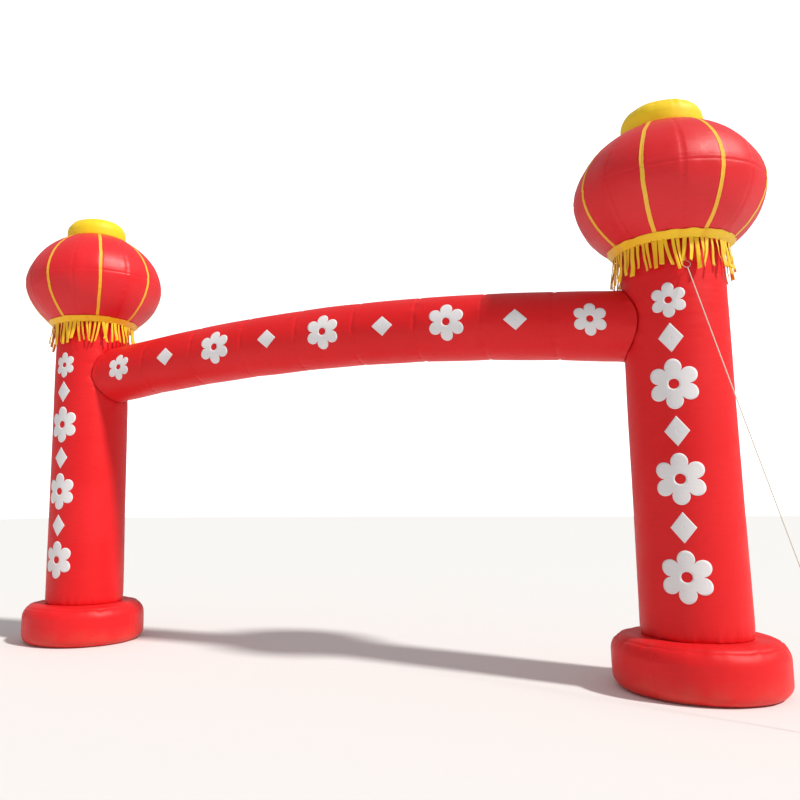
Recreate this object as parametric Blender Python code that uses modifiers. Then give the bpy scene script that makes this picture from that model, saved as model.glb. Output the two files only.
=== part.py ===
"""An inflatable arch: two lantern-topped columns on drum bases, joined by a gently arched tube.

Each air chamber is one filled solid. The cloth that is sewn on top (ribs, fringes and white
appliques) and the guy rope with its fittings are separate solids. Metres, +Z up, front towards -Y.
"""

import math

import bmesh
import bpy
from mathutils import Matrix, Vector

# The whole arch
SPAN = 6.6
CLEARANCE = 0.0003
SEAM_GAP = 0.0004
SIDES = {"left": -1, "right": 1}

# Drum bases
BASE_RADIUS = 0.688
BASE_HEIGHT = 0.435
BASE_ROUND = 0.144
BASE_SIDES = 32

# Columns
COLUMN_FOOT_RADIUS = 0.443
COLUMN_TOP_RADIUS = 0.430
COLUMN_TOP = 3.7255
COLUMN_SIDES = 40

# Arched tube between the columns
BEAM_RADIUS = 0.324
BEAM_END_HEIGHT = 3.055
BEAM_RISE = 0.243
BEAM_SECTION = 0.655
BEAM_SECTIONS = 9
BEAM_ROUNDNESS = 12

# Lanterns: each half is a superellipse, pinched along its seams
LANTERN_RADIUS = 0.8088
LANTERN_MIDDLE = 4.261
LANTERN_UPPER = 0.6665
LANTERN_LOWER = 0.6695
LANTERN_POWER = 1.84
LANTERN_TOP_RADIUS = 0.3595
LANTERN_NECK_RADIUS = 0.4475
LANTERN_GORES = 16
LANTERN_PINCH = 0.012

# Caps on the lanterns
CAP_RADIUS = 0.3535
CAP_TOP = 5.101
CAP_ROUND = 0.147
CAP_CROWN = 0.022
CAP_SIDES = 28

# Ribs over every second lantern seam
RIB_WIDTH = 0.034
RIB_THICKNESS = 0.002
RIBS = 8
RIB_TURN = {"left": math.radians(1.0), "right": math.radians(33.2)}

# Fringe around each lantern's neck
FRINGE_TOP = 3.762
FRINGE_TOP_RADIUS = 0.516
FRINGE_NECK = 3.716
FRINGE_NECK_RADIUS = 0.470
FRINGE_FLARE = 0.016
FRINGE_TAIL = 0.225
FRINGE_UNEVEN = 0.035
FRINGE_TAILS = 30
FRINGE_TAIL_SHARE = 0.66
FRINGE_THICKNESS = 0.002

# White appliques
APPLIQUE_LIFT = 0.0006
APPLIQUE_THICKNESS = 0.0014
COLUMN_MOTIF_TURN = math.radians(-5.0)
BLOSSOM_PETALS = 6
BLOSSOM_SPREAD = math.radians(19.0)

# kind, height up the column, width, height
COLUMN_MOTIFS = (
    ("blossom", 0.94, 0.42, 0.42),
    ("lozenge", 1.33, 0.20, 0.25),
    ("blossom", 1.72, 0.42, 0.42),
    ("lozenge", 2.11, 0.20, 0.25),
    ("blossom", 2.50, 0.42, 0.42),
    ("lozenge", 2.89, 0.20, 0.25),
    ("blossom", 3.21, 0.30, 0.30),
)

# kind, section counted from the middle one, width, height
BEAM_MOTIFS = (
    ("blossom", -4, 0.30, 0.30),
    ("lozenge", -3, 0.22, 0.20),
    ("blossom", -2, 0.37, 0.37),
    ("lozenge", -1, 0.22, 0.20),
    ("blossom", 0, 0.37, 0.37),
    ("lozenge", 1, 0.22, 0.20),
    ("blossom", 2, 0.37, 0.37),
    ("lozenge", 3, 0.22, 0.20),
    ("blossom", 4, 0.30, 0.30),
)

# Guy rope at the front of the right column
TAB_ANGLE = math.radians(15.0)
TAB_HEIGHT = 3.525
TAB_WIDTH = 0.018
TAB_THICKNESS = 0.002
TAB_LENGTH = 0.075
TAB_LOOP = 0.0085
RING_RADIUS = 0.030
RING_WIRE = 0.003
ROPE_DIAMETER = 0.008
EYE_RADIUS = 0.016
PEG_FOOT = (4.256, -1.200)
PEG_RADIUS = 0.006
PEG_HEIGHT = 0.150
EYE_HEIGHT = 0.050

# The rope's own course, from the ring on the column down to the eye at the peg
ROPE_ROUTE = (
    (3.4285, -0.4387, 3.4647),
    (3.5908, -0.5875, 2.7735),
    (3.7534, -0.7373, 2.0870),
    (3.9160, -0.8870, 1.4054),
    (4.0786, -1.0368, 0.7285),
    (4.2412, -1.1865, 0.0565),
)
ROPE_POINTS = 26

ARCH = bpy.data.collections.new("inflatable_arch")
CUTTERS = bpy.data.collections.new("cutters")


def clear_scene():
    for thing in list(bpy.data.objects):
        bpy.data.objects.remove(thing, do_unlink=True)
    bpy.context.scene.collection.children.link(ARCH)
    bpy.context.scene.collection.children.link(CUTTERS)


def make_material(name, colour, roughness, metallic=0.0):
    material = bpy.data.materials.new(name)
    material.use_nodes = True
    shader = material.node_tree.nodes["Principled BSDF"]
    shader.inputs["Base Color"].default_value = (*colour, 1.0)
    shader.inputs["Roughness"].default_value = roughness
    shader.inputs["Metallic"].default_value = metallic
    return material


def add_part(name, mesh, material):
    part = bpy.data.objects.new(name, mesh)
    part.data.materials.append(material)
    ARCH.objects.link(part)
    return part


def add_cutter(name, mesh):
    cutter = bpy.data.objects.new(name, mesh)
    cutter.hide_render = True
    cutter.display_type = "WIRE"
    CUTTERS.objects.link(cutter)
    return cutter


def add_boolean(part, cutter, operation):
    boolean = part.modifiers.new(operation.title(), "BOOLEAN")
    boolean.object = cutter
    boolean.operation = operation
    boolean.solver = "EXACT"


def shade_round(part):
    part.data.shade_smooth()
    part.data.set_sharp_from_angle(angle=math.radians(40.0))


# ---- Turned chambers ----


def turned_mesh(name, profile):
    """A mesh of the open profile of (radius, height), from the top centre down the outer side."""
    mesh = bpy.data.meshes.new(name)
    points = [(radius, 0.0, height) for radius, height in profile]
    edges = [(index, index + 1) for index in range(len(points) - 1)]
    mesh.from_pydata(points, edges, [])
    return mesh


def add_screw(part, steps):
    screw = part.modifiers.new("Turn", "SCREW")
    screw.steps = steps
    screw.render_steps = steps
    screw.use_merge_vertices = True
    screw.merge_threshold = 0.0001
    screw.use_smooth_shade = True


def quarter_round(centre, radius, start, steps):
    """Points of a quarter circle in the (radius, height) plane, turning clockwise from start."""
    points = []
    for step in range(steps + 1):
        angle = math.radians(start - 90.0 * step / steps)
        points.append((centre[0] + radius * math.cos(angle), centre[1] + radius * math.sin(angle)))
    return points


def make_base(side, material):
    inner = BASE_RADIUS - BASE_ROUND
    top = quarter_round((inner, BASE_HEIGHT - BASE_ROUND), BASE_ROUND, 90.0, 3)
    bottom = quarter_round((inner, BASE_ROUND), BASE_ROUND, 0.0, 3)
    profile = [(0.0, BASE_HEIGHT)] + top + bottom + [(0.0, 0.0)]
    base = add_part(f"base_{side}", turned_mesh("base", profile), material)
    add_screw(base, BASE_SIDES)
    base.location.x = SIDES[side] * SPAN / 2
    return base


def column_radius(height):
    share = (height - BASE_HEIGHT) / (COLUMN_TOP - BASE_HEIGHT)
    return COLUMN_FOOT_RADIUS + share * (COLUMN_TOP_RADIUS - COLUMN_FOOT_RADIUS)


def column_profile(extra):
    """The column's outline, grown outwards by extra for the cutters that follow its surface."""
    foot = BASE_HEIGHT + CLEARANCE
    return [
        (0.0, COLUMN_TOP),
        (COLUMN_TOP_RADIUS + extra, COLUMN_TOP),
        (COLUMN_FOOT_RADIUS + extra, foot),
        (0.0, foot),
    ]


def make_column(side, material):
    column = add_part(f"column_{side}", turned_mesh("column", column_profile(0.0)), material)
    add_screw(column, COLUMN_SIDES)
    column.location.x = SIDES[side] * SPAN / 2
    return column


def make_column_cutter(side, name, extra):
    cutter = add_cutter(f"{name}_{side}", turned_mesh(name, column_profile(extra)))
    add_screw(cutter, COLUMN_SIDES)
    cutter.location.x = SIDES[side] * SPAN / 2
    return cutter


def make_cap(side, material):
    inner = CAP_RADIUS - CAP_ROUND
    shoulder = CAP_TOP - CAP_CROWN
    foot = lantern_profile()[0][1] + CLEARANCE
    crown = [(0.0, CAP_TOP), (inner / 2, CAP_TOP - CAP_CROWN / 3)]
    profile = crown + quarter_round((inner, shoulder - CAP_ROUND), CAP_ROUND, 90.0, 3)
    profile += [(CAP_RADIUS, foot), (0.0, foot)]
    cap = add_part(f"cap_{side}", turned_mesh("cap", profile), material)
    add_screw(cap, CAP_SIDES)
    cap.location.x = SIDES[side] * SPAN / 2
    return cap


# ---- Lanterns ----


def lantern_profile():
    """(radius, height) of a lantern's seams, from its top ring down to its neck."""
    power = LANTERN_POWER / 2
    top = math.degrees(math.acos((LANTERN_TOP_RADIUS / LANTERN_RADIUS) ** power))
    neck = -math.degrees(math.acos((LANTERN_NECK_RADIUS / LANTERN_RADIUS) ** power))
    upper = [top * (6 - step) / 6 for step in range(6)]
    lower = [neck * step / 5 for step in range(6)]
    points = []
    for angle in map(math.radians, upper + lower):
        radius = LANTERN_RADIUS * math.cos(angle) ** (1 / power)
        reach = abs(math.sin(angle)) ** (1 / power)
        half = LANTERN_UPPER if angle > 0 else -LANTERN_LOWER
        points.append((radius, LANTERN_MIDDLE + half * reach))
    shift = COLUMN_TOP + CLEARANCE - points[-1][1]
    points[-1] = (points[-1][0], points[-1][1] + shift)
    return points


def loft(name, rings):
    """A closed skin over rings of equal count, with a flat lid on the first and on the last."""
    shape = bmesh.new()
    rows = [[shape.verts.new(point) for point in ring] for ring in rings]
    for upper, lower in zip(rows, rows[1:]):
        for index, corner in enumerate(upper):
            after = (index + 1) % len(upper)
            shape.faces.new((corner, lower[index], lower[after], upper[after]))
    shape.faces.new(rows[0])
    shape.faces.new(reversed(rows[-1]))
    bmesh.ops.recalc_face_normals(shape, faces=shape.faces)
    mesh = bpy.data.meshes.new(name)
    shape.to_mesh(mesh)
    shape.free()
    return mesh


def make_lantern(side, material):
    count = 2 * LANTERN_GORES
    rings = []
    for radius, height in lantern_profile():
        ring = []
        for step in range(count):
            angle = RIB_TURN[side] + math.tau * step / count
            reach = radius * (1.0 - LANTERN_PINCH * (step % 2))
            ring.append((reach * math.cos(angle), reach * math.sin(angle), height))
        rings.append(ring)
    lantern = add_part(f"lantern_{side}", loft("lantern", rings), material)
    lantern.location.x = SIDES[side] * SPAN / 2
    return lantern


def along(start, end, share):
    return tuple(a + share * (b - a) for a, b in zip(start, end))


def rib_mesh():
    """A flat tape over one seam, facing +X, held off the lantern by the clearance."""
    seam = lantern_profile()
    seam[0] = along(seam[0], seam[1], 0.15)
    seam[-1] = along(seam[-2], seam[-1], 0.72)
    lift = 2 * CLEARANCE + RIB_THICKNESS / 2
    points = []
    for index, (radius, height) in enumerate(seam):
        before = seam[max(index - 1, 0)]
        after = seam[min(index + 1, len(seam) - 1)]
        run = Vector((after[0] - before[0], after[1] - before[1])).normalized()
        radius -= run.y * lift
        height += run.x * lift
        points.append((radius, -RIB_WIDTH / 2, height))
        points.append((radius, RIB_WIDTH / 2, height))
    faces = []
    for row in range(0, len(points) - 2, 2):
        faces.append((row, row + 2, row + 3, row + 1))
    mesh = bpy.data.meshes.new("rib")
    mesh.from_pydata(points, [], faces)
    return mesh


def make_ribs(side, material):
    tape = rib_mesh()
    tape.materials.append(material)
    for index in range(RIBS):
        rib = bpy.data.objects.new(f"rib_{side}_{index + 1}", tape)
        ARCH.objects.link(rib)
        rib.location.x = SIDES[side] * SPAN / 2
        rib.rotation_euler.z = RIB_TURN[side] + math.tau * index / RIBS
        thicken(rib, RIB_THICKNESS)


def thicken(part, thickness):
    solidify = part.modifiers.new("Cloth", "SOLIDIFY")
    solidify.thickness = thickness
    solidify.offset = 0.0


# ---- Fringe ----


def fringe_mesh(phase):
    """A collar whose lower edge is cut into tails of uneven length, as one open surface."""
    shape = bmesh.new()
    pitch = math.tau / FRINGE_TAILS
    rows = {"top": [], "neck": [], "middle": [], "end": []}
    for tail in range(FRINGE_TAILS):
        drop = FRINGE_TAIL + FRINGE_UNEVEN * math.sin(2.4 * tail + phase)
        sway = 0.09 * pitch * math.sin(3.7 * tail + 2 * phase)
        lean = FRINGE_FLARE * (1.0 + 0.6 * math.sin(1.9 * tail + phase))
        levels = (
            ("top", FRINGE_TOP, FRINGE_TOP_RADIUS, 0.0),
            ("neck", FRINGE_NECK, FRINGE_NECK_RADIUS, 0.0),
            ("middle", FRINGE_NECK - drop / 2, FRINGE_NECK_RADIUS + lean * 0.7, sway),
            ("end", FRINGE_NECK - drop, FRINGE_NECK_RADIUS + lean, 2 * sway),
        )
        for name, height, radius, turn in levels:
            for edge in (0.0, FRINGE_TAIL_SHARE):
                angle = pitch * (tail + edge) + turn
                place = (radius * math.cos(angle), radius * math.sin(angle), height)
                rows[name].append(shape.verts.new(place))
    count = 2 * FRINGE_TAILS
    for step in range(count):
        after = (step + 1) % count
        shape.faces.new((rows["top"][step], rows["neck"][step], rows["neck"][after], rows["top"][after]))
    for step in range(0, count, 2):
        for upper, lower in (("neck", "middle"), ("middle", "end")):
            corners = (rows[upper][step], rows[lower][step], rows[lower][step + 1], rows[upper][step + 1])
            shape.faces.new(corners)
    bmesh.ops.recalc_face_normals(shape, faces=shape.faces)
    mesh = bpy.data.meshes.new("fringe")
    shape.to_mesh(mesh)
    shape.free()
    return mesh


def make_fringe(side, material):
    phase = 0.8 + 0.9 * SIDES[side]
    fringe = add_part(f"fringe_{side}", fringe_mesh(phase), material)
    fringe.location.x = SIDES[side] * SPAN / 2
    thicken(fringe, FRINGE_THICKNESS)
    return fringe


# ---- Arched tube ----


def beam_height(x):
    """Height of the tube's centre line, a shallow parabola between the columns' axes."""
    return BEAM_END_HEIGHT + BEAM_RISE * (1.0 - (2.0 * x / SPAN) ** 2)


def curve_object(name, splines, closed):
    curve = bpy.data.curves.new(name, "CURVE")
    for points in splines:
        spline = curve.splines.new("POLY")
        spline.points.add(len(points) - 1)
        for slot, point in zip(spline.points, points):
            slot.co = (*point, 1.0)
        spline.use_cyclic_u = closed
    return bpy.data.objects.new(name, curve)


def welded_mesh(guide):
    """The mesh of a curve object with its caps joined on. The curve itself is removed."""
    CUTTERS.objects.link(guide)
    bpy.context.view_layer.update()
    evaluated = guide.evaluated_get(bpy.context.evaluated_depsgraph_get())
    mesh = bpy.data.meshes.new_from_object(evaluated)
    shape = bmesh.new()
    shape.from_mesh(mesh)
    bmesh.ops.remove_doubles(shape, verts=shape.verts, dist=0.00001)
    bmesh.ops.recalc_face_normals(shape, faces=shape.faces)
    shape.to_mesh(mesh)
    shape.free()
    bpy.data.objects.remove(guide, do_unlink=True)
    return mesh


def beam_mesh(extra):
    """Straight lengths of tube with mitred seams, running a little way into both columns."""
    half = BEAM_SECTIONS * BEAM_SECTION / 2
    places = [BEAM_SECTION * step - half for step in range(1, BEAM_SECTIONS)]
    end = SPAN / 2 - COLUMN_FOOT_RADIUS / 2
    route = [(x, 0.0, beam_height(x)) for x in [-end] + places + [end]]
    guide = curve_object("beam", [route], False)
    guide.data.dimensions = "3D"
    guide.data.twist_mode = "Z_UP"
    guide.data.bevel_depth = BEAM_RADIUS + extra
    guide.data.bevel_resolution = BEAM_ROUNDNESS
    guide.data.use_fill_caps = True
    return welded_mesh(guide)


def make_beam(material):
    beam = add_part("beam", beam_mesh(0.0), material)
    for side in SIDES:
        add_boolean(beam, make_column_cutter(side, "beam_seam", SEAM_GAP), "DIFFERENCE")
    return beam


# ---- White appliques ----


def blossom_outline(width, height):
    """Six petals around a small open heart."""
    petals = []
    for petal in range(BLOSSOM_PETALS):
        middle = math.pi / 2 + math.tau * petal / BLOSSOM_PETALS
        for turn, reach in ((-BLOSSOM_SPREAD, 0.9), (0.0, 1.0), (BLOSSOM_SPREAD, 0.9)):
            petals.append((middle + turn, reach))
        petals.append((middle + math.pi / BLOSSOM_PETALS, 0.58))
    heart = [(math.tau * step / BLOSSOM_PETALS, 0.2) for step in range(BLOSSOM_PETALS)]
    loops = []
    for ring in (petals, heart):
        loops.append([(width / 2 * reach * math.cos(turn), height / 2 * reach * math.sin(turn), 0.0)
                      for turn, reach in ring])
    return loops


def lozenge_outline(width, height):
    return [[(width / 2, 0.0, 0.0), (0.0, height / 2, 0.0), (-width / 2, 0.0, 0.0), (0.0, -height / 2, 0.0)]]


OUTLINES = {"blossom": blossom_outline, "lozenge": lozenge_outline}


def make_applique(name, kind, size, frame, reach, shells, material):
    """A thin patch: the outline's prism, kept only between two skins just proud of the tube."""
    guide = curve_object(name, OUTLINES[kind](*size), True)
    guide.data.dimensions = "2D"
    guide.data.fill_mode = "BOTH"
    guide.data.extrude = reach / 3
    patch = add_part(name, welded_mesh(guide), material)
    patch.matrix_world = frame @ Matrix.Translation((0.0, 0.0, reach))
    add_boolean(patch, shells["outer"], "INTERSECT")
    add_boolean(patch, shells["inner"], "DIFFERENCE")


def standing_frame(centre, run):
    """A frame at centre whose X runs along the cloth and whose Z points out at the front."""
    run = Vector(run).normalized()
    out = run.cross(Vector((0.0, 0.0, 1.0))).normalized()
    up = out.cross(run)
    return Matrix.Translation(centre) @ Matrix((run, up, out)).transposed().to_4x4()


def make_column_appliques(side, material):
    shells = {
        "inner": make_column_cutter(side, "applique_inner", APPLIQUE_LIFT),
        "outer": make_column_cutter(side, "applique_outer", APPLIQUE_LIFT + APPLIQUE_THICKNESS),
    }
    run = (math.cos(COLUMN_MOTIF_TURN), math.sin(COLUMN_MOTIF_TURN), 0.0)
    for index, (kind, height, width, tall) in enumerate(COLUMN_MOTIFS):
        frame = standing_frame((SIDES[side] * SPAN / 2, 0.0, height), run)
        name = f"{kind}_column_{side}_{index + 1}"
        make_applique(name, kind, (width, tall), frame, COLUMN_FOOT_RADIUS * 0.9, shells, material)


def make_beam_appliques(material):
    shells = {
        "inner": add_cutter("beam_applique_inner", beam_mesh(APPLIQUE_LIFT)),
        "outer": add_cutter("beam_applique_outer", beam_mesh(APPLIQUE_LIFT + APPLIQUE_THICKNESS)),
    }
    for index, (kind, section, width, tall) in enumerate(BEAM_MOTIFS):
        start, end = ((section + half) * BEAM_SECTION for half in (-0.5, 0.5))
        rise = beam_height(end) - beam_height(start)
        middle = (beam_height(start) + beam_height(end)) / 2
        frame = standing_frame((section * BEAM_SECTION, 0.0, middle), (BEAM_SECTION, 0.0, rise))
        name = f"{kind}_beam_{index + 1}"
        make_applique(name, kind, (width, tall), frame, BEAM_RADIUS * 0.9, shells, material)


# ---- Guy rope ----


def tab_anchor():
    """Where the ring's wire passes through the tab's loop, and the way out from the column."""
    out = Vector((math.sin(TAB_ANGLE), -math.cos(TAB_ANGLE), 0.0))
    wall = column_radius(TAB_HEIGHT) + SEAM_GAP + TAB_THICKNESS / 2
    centre = Vector((SPAN / 2, 0.0, TAB_HEIGHT)) + out * (wall + TAB_LOOP)
    return centre, out


def make_tab(material):
    """A strap that lies on the column, turns around the ring's wire and comes back up."""
    centre, out = tab_anchor()
    path = [(-TAB_LOOP, TAB_LENGTH), (-TAB_LOOP, TAB_LENGTH / 2)]
    for step in range(9):
        angle = math.pi + math.pi * step / 8
        path.append((TAB_LOOP * math.cos(angle), TAB_LOOP * math.sin(angle)))
    path.append((TAB_LOOP * 0.2, TAB_LENGTH / 3))
    path.append((TAB_THICKNESS * 1.5 - TAB_LOOP, TAB_LENGTH / 2))
    path.append((TAB_THICKNESS * 1.5 - TAB_LOOP, TAB_LENGTH * 0.9))
    width = out.cross(Vector((0.0, 0.0, 1.0))) * TAB_WIDTH / 2
    points = []
    for reach, rise in path:
        middle = centre + out * reach + Vector((0.0, 0.0, rise))
        points.append(middle - width)
        points.append(middle + width)
    faces = [(row, row + 1, row + 3, row + 2) for row in range(0, len(points) - 2, 2)]
    mesh = bpy.data.meshes.new("guy_tab")
    mesh.from_pydata(points, [], faces)
    tab = add_part("guy_tab", mesh, material)
    thicken(tab, TAB_THICKNESS)


def rope_direction():
    return (Vector(ROPE_ROUTE[1]) - Vector(ROPE_ROUTE[0])).normalized()


def make_round_tube(name, route, radius, roundness, closed, material):
    tube = curve_object(name, [route], closed)
    tube.data.dimensions = "3D"
    tube.data.bevel_depth = radius
    tube.data.bevel_resolution = roundness
    tube.data.use_fill_caps = not closed
    tube.data.materials.append(material)
    ARCH.objects.link(tube)
    return tube


def ring_route(centre, first, second, radius, steps):
    points = []
    for step in range(steps):
        angle = math.tau * step / steps
        points.append(centre + radius * (math.cos(angle) * first + math.sin(angle) * second))
    return points


def make_ring(material):
    centre, out = tab_anchor()
    pull = rope_direction()
    across = out.cross(Vector((0.0, 0.0, 1.0)))
    across = (across - across.dot(pull) * pull).normalized()
    route = ring_route(centre + pull * RING_RADIUS, pull, across, RING_RADIUS, 16)
    make_round_tube("guy_ring", route, RING_WIRE, 2, True, material)


def smooth_route(points, count):
    """Evenly many points on a Catmull-Rom curve through the route's own points."""
    knots = [Vector(point) for point in points]
    knots = [2 * knots[0] - knots[1]] + knots + [2 * knots[-1] - knots[-2]]
    spans = len(knots) - 3
    smooth = []
    for step in range(count):
        place = spans * step / (count - 1)
        index = min(int(place), spans - 1)
        t = place - index
        a, b, c, d = knots[index:index + 4]
        bend = (2 * a - 5 * b + 4 * c - d) * t * t + (3 * b - a - 3 * c + d) * t ** 3
        smooth.append(b + 0.5 * ((c - a) * t + bend))
    return smooth


def make_rope(material):
    route = smooth_route(ROPE_ROUTE, ROPE_POINTS)
    make_round_tube("guy_rope", route, ROPE_DIAMETER / 2, 2, False, material)


def make_eye(material):
    """The rope's end, spliced into a loop around the peg."""
    centre = Vector((*PEG_FOOT, EYE_HEIGHT))
    route = ring_route(centre, Vector((1.0, 0.0, 0.0)), Vector((0.0, 1.0, 0.0)), EYE_RADIUS, 12)
    make_round_tube("guy_eye", route, ROPE_DIAMETER / 2, 2, True, material)


def make_peg(material):
    """A steel stake with its top bent over, away from the arch."""
    away = Vector((PEG_FOOT[0] - SPAN / 2, PEG_FOOT[1], 0.0)).normalized()
    foot = Vector((*PEG_FOOT, 0.0))
    up = Vector((0.0, 0.0, 1.0))
    route = [foot, foot + up * PEG_HEIGHT * 0.6]
    bend = PEG_HEIGHT * 0.2
    for step in range(1, 8):
        angle = math.radians(24.0 * step)
        reach = bend * (1.0 - math.cos(angle))
        route.append(foot + away * reach + up * (PEG_HEIGHT * 0.6 + bend * math.sin(angle)))
    make_round_tube("guy_peg", route, PEG_RADIUS, 2, False, material)


def main():
    clear_scene()
    red = make_material("red_cloth", (0.62, 0.012, 0.022), 0.55)
    yellow = make_material("yellow_cloth", (0.92, 0.55, 0.02), 0.55)
    tape = make_material("rib_tape", (0.90, 0.42, 0.02), 0.6)
    fringe = make_material("fringe_cloth", (0.92, 0.52, 0.02), 0.6)
    white = make_material("white_cloth", (0.85, 0.84, 0.84), 0.6)
    rope = make_material("rope", (0.72, 0.66, 0.55), 0.8)
    webbing = make_material("webbing", (0.55, 0.02, 0.03), 0.7)
    steel = make_material("steel", (0.45, 0.45, 0.46), 0.4, 1.0)
    for side in SIDES:
        make_base(side, red)
        make_column(side, red)
        make_lantern(side, red)
        make_cap(side, yellow)
        make_ribs(side, tape)
        make_fringe(side, fringe)
        make_column_appliques(side, white)
    make_beam(red)
    make_beam_appliques(white)
    make_tab(webbing)
    make_ring(steel)
    make_rope(rope)
    make_eye(rope)
    make_peg(steel)
    for part in ARCH.objects:
        if part.type == "MESH":
            shade_round(part)


main()
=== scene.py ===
import math

import bpy
import numpy as np
from mathutils import Matrix, Vector


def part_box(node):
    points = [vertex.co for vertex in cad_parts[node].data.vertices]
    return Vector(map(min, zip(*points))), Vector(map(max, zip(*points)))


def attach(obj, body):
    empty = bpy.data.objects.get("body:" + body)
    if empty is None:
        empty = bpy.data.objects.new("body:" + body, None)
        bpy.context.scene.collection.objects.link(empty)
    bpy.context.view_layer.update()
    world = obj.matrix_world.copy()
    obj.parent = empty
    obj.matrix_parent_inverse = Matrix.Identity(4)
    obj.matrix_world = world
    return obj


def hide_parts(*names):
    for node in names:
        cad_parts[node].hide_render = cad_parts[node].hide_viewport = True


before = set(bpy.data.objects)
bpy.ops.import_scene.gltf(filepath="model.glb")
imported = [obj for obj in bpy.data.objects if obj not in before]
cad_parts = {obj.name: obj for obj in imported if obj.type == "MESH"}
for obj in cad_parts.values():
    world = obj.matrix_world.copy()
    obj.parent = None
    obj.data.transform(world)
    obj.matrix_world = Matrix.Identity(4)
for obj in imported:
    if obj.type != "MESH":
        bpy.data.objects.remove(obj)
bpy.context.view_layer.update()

sides = {"left": -1, "right": 1}
print("frame loaded,", len(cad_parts), "nodes")


# camera first, because the rope is measured against what it sees
eye = {
    "place": (3.328, -7.263, 1.543),
    "turn": -24.293,     # degrees, towards the left column
    "tilt": 7.72,        # degrees up
    "roll": -0.538,
    "lens": 34.56,
    "shift": 0.075,
}


def makeCamera():
    turn, tilt, roll = (math.radians(eye[key]) for key in ("turn", "tilt", "roll"))
    look = Vector((math.sin(turn) * math.cos(tilt), math.cos(turn) * math.cos(tilt), math.sin(tilt)))
    level = Vector((math.cos(turn), -math.sin(turn), 0))
    upright = level.cross(look)
    right = math.cos(roll) * level + math.sin(roll) * upright
    up = math.cos(roll) * upright - math.sin(roll) * level
    data = bpy.data.cameras.new("eye")
    data.lens = eye["lens"]
    data.sensor_width = 36
    data.shift_x = eye["shift"]
    data.clip_end = 200
    camera = bpy.data.objects.new("eye", data)
    bpy.context.scene.collection.objects.link(camera)
    rows = [(right[i], up[i], -look[i], eye["place"][i]) for i in range(3)]
    camera.matrix_world = Matrix(rows + [(0, 0, 0, 1)])
    bpy.context.scene.camera = camera


makeCamera()


# small helpers for cloth surfaces

noiseRows = 67    # hills before the noise repeats the other way


def softNoise(u, v, seed, around=61):
    # smooth random hills, one per unit, that repeat after "around" units of u
    grid = np.random.default_rng(seed).uniform(-1, 1, (around, noiseRows))
    u, v = np.broadcast_arrays(np.asarray(u, float), np.asarray(v, float))
    iu, iv = np.floor(u).astype(int), np.floor(v).astype(int)
    fu, fv = u - iu, v - iv
    fu, fv = fu * fu * (3 - 2 * fu), fv * fv * (3 - 2 * fv)
    a, b = iu % around, (iu + 1) % around
    c, d = iv % noiseRows, (iv + 1) % noiseRows
    low = grid[a, c] * (1 - fu) + grid[b, c] * fu
    high = grid[a, d] * (1 - fu) + grid[b, d] * fu
    return low * (1 - fv) + high * fv


def fade(distance, reach):
    return np.exp(-np.abs(distance) / reach)


def dent(distance, width):
    return np.exp(-(distance / width) ** 2)


def wrapAngle(angle):
    return (angle + math.pi) % math.tau - math.pi


def linkMesh(name, points, faces, uvs, material):
    mesh = bpy.data.meshes.new(name)
    mesh.from_pydata(np.asarray(points, float).tolist(), [], faces)
    layer = mesh.uv_layers.new(name="cloth")
    layer.data.foreach_set("uv", np.asarray(uvs, np.float32).ravel())
    mesh.polygons.foreach_set("use_smooth", [True] * len(mesh.polygons))
    mesh.materials.append(material)
    piece = bpy.data.objects.new(name, mesh)
    bpy.context.scene.collection.objects.link(piece)
    return piece


def closedTube(name, rings, cloth, material):
    # rings: (rows, around, 3), from the bottom up, anticlockwise seen from above
    # cloth: (rows, around + 1, 2) in metres, one column more where the seam closes
    rows, around = rings.shape[:2]
    points = rings.reshape(-1, 3)
    ends = [rings[0].mean(0), rings[-1].mean(0)]
    points = np.vstack([points, ends])
    row, col = np.meshgrid(np.arange(rows - 1), np.arange(around), indexing="ij")
    following = (col + 1) % around
    quads = np.stack([row * around + col, row * around + following,
                      (row + 1) * around + following, (row + 1) * around + col], -1).reshape(-1, 4)
    uvs = np.stack([cloth[row, col], cloth[row, col + 1],
                    cloth[row + 1, col + 1], cloth[row + 1, col]], -2).reshape(-1, 2)
    faces = quads.tolist()
    spokes = np.arange(around)
    after = (spokes + 1) % around
    low, high = len(points) - 2, len(points) - 1
    top = (rows - 1) * around
    faces += [[low, int(b), int(a)] for a, b in zip(spokes, after)]
    faces += [[high, int(top + a), int(top + b)] for a, b in zip(spokes, after)]
    flat = [[points[i][:2] for i in face] for face in faces[-2 * around:]]
    uvs = np.vstack([uvs, np.array(flat).reshape(-1, 2)])
    return linkMesh(name, points, faces, uvs, material)


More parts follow.
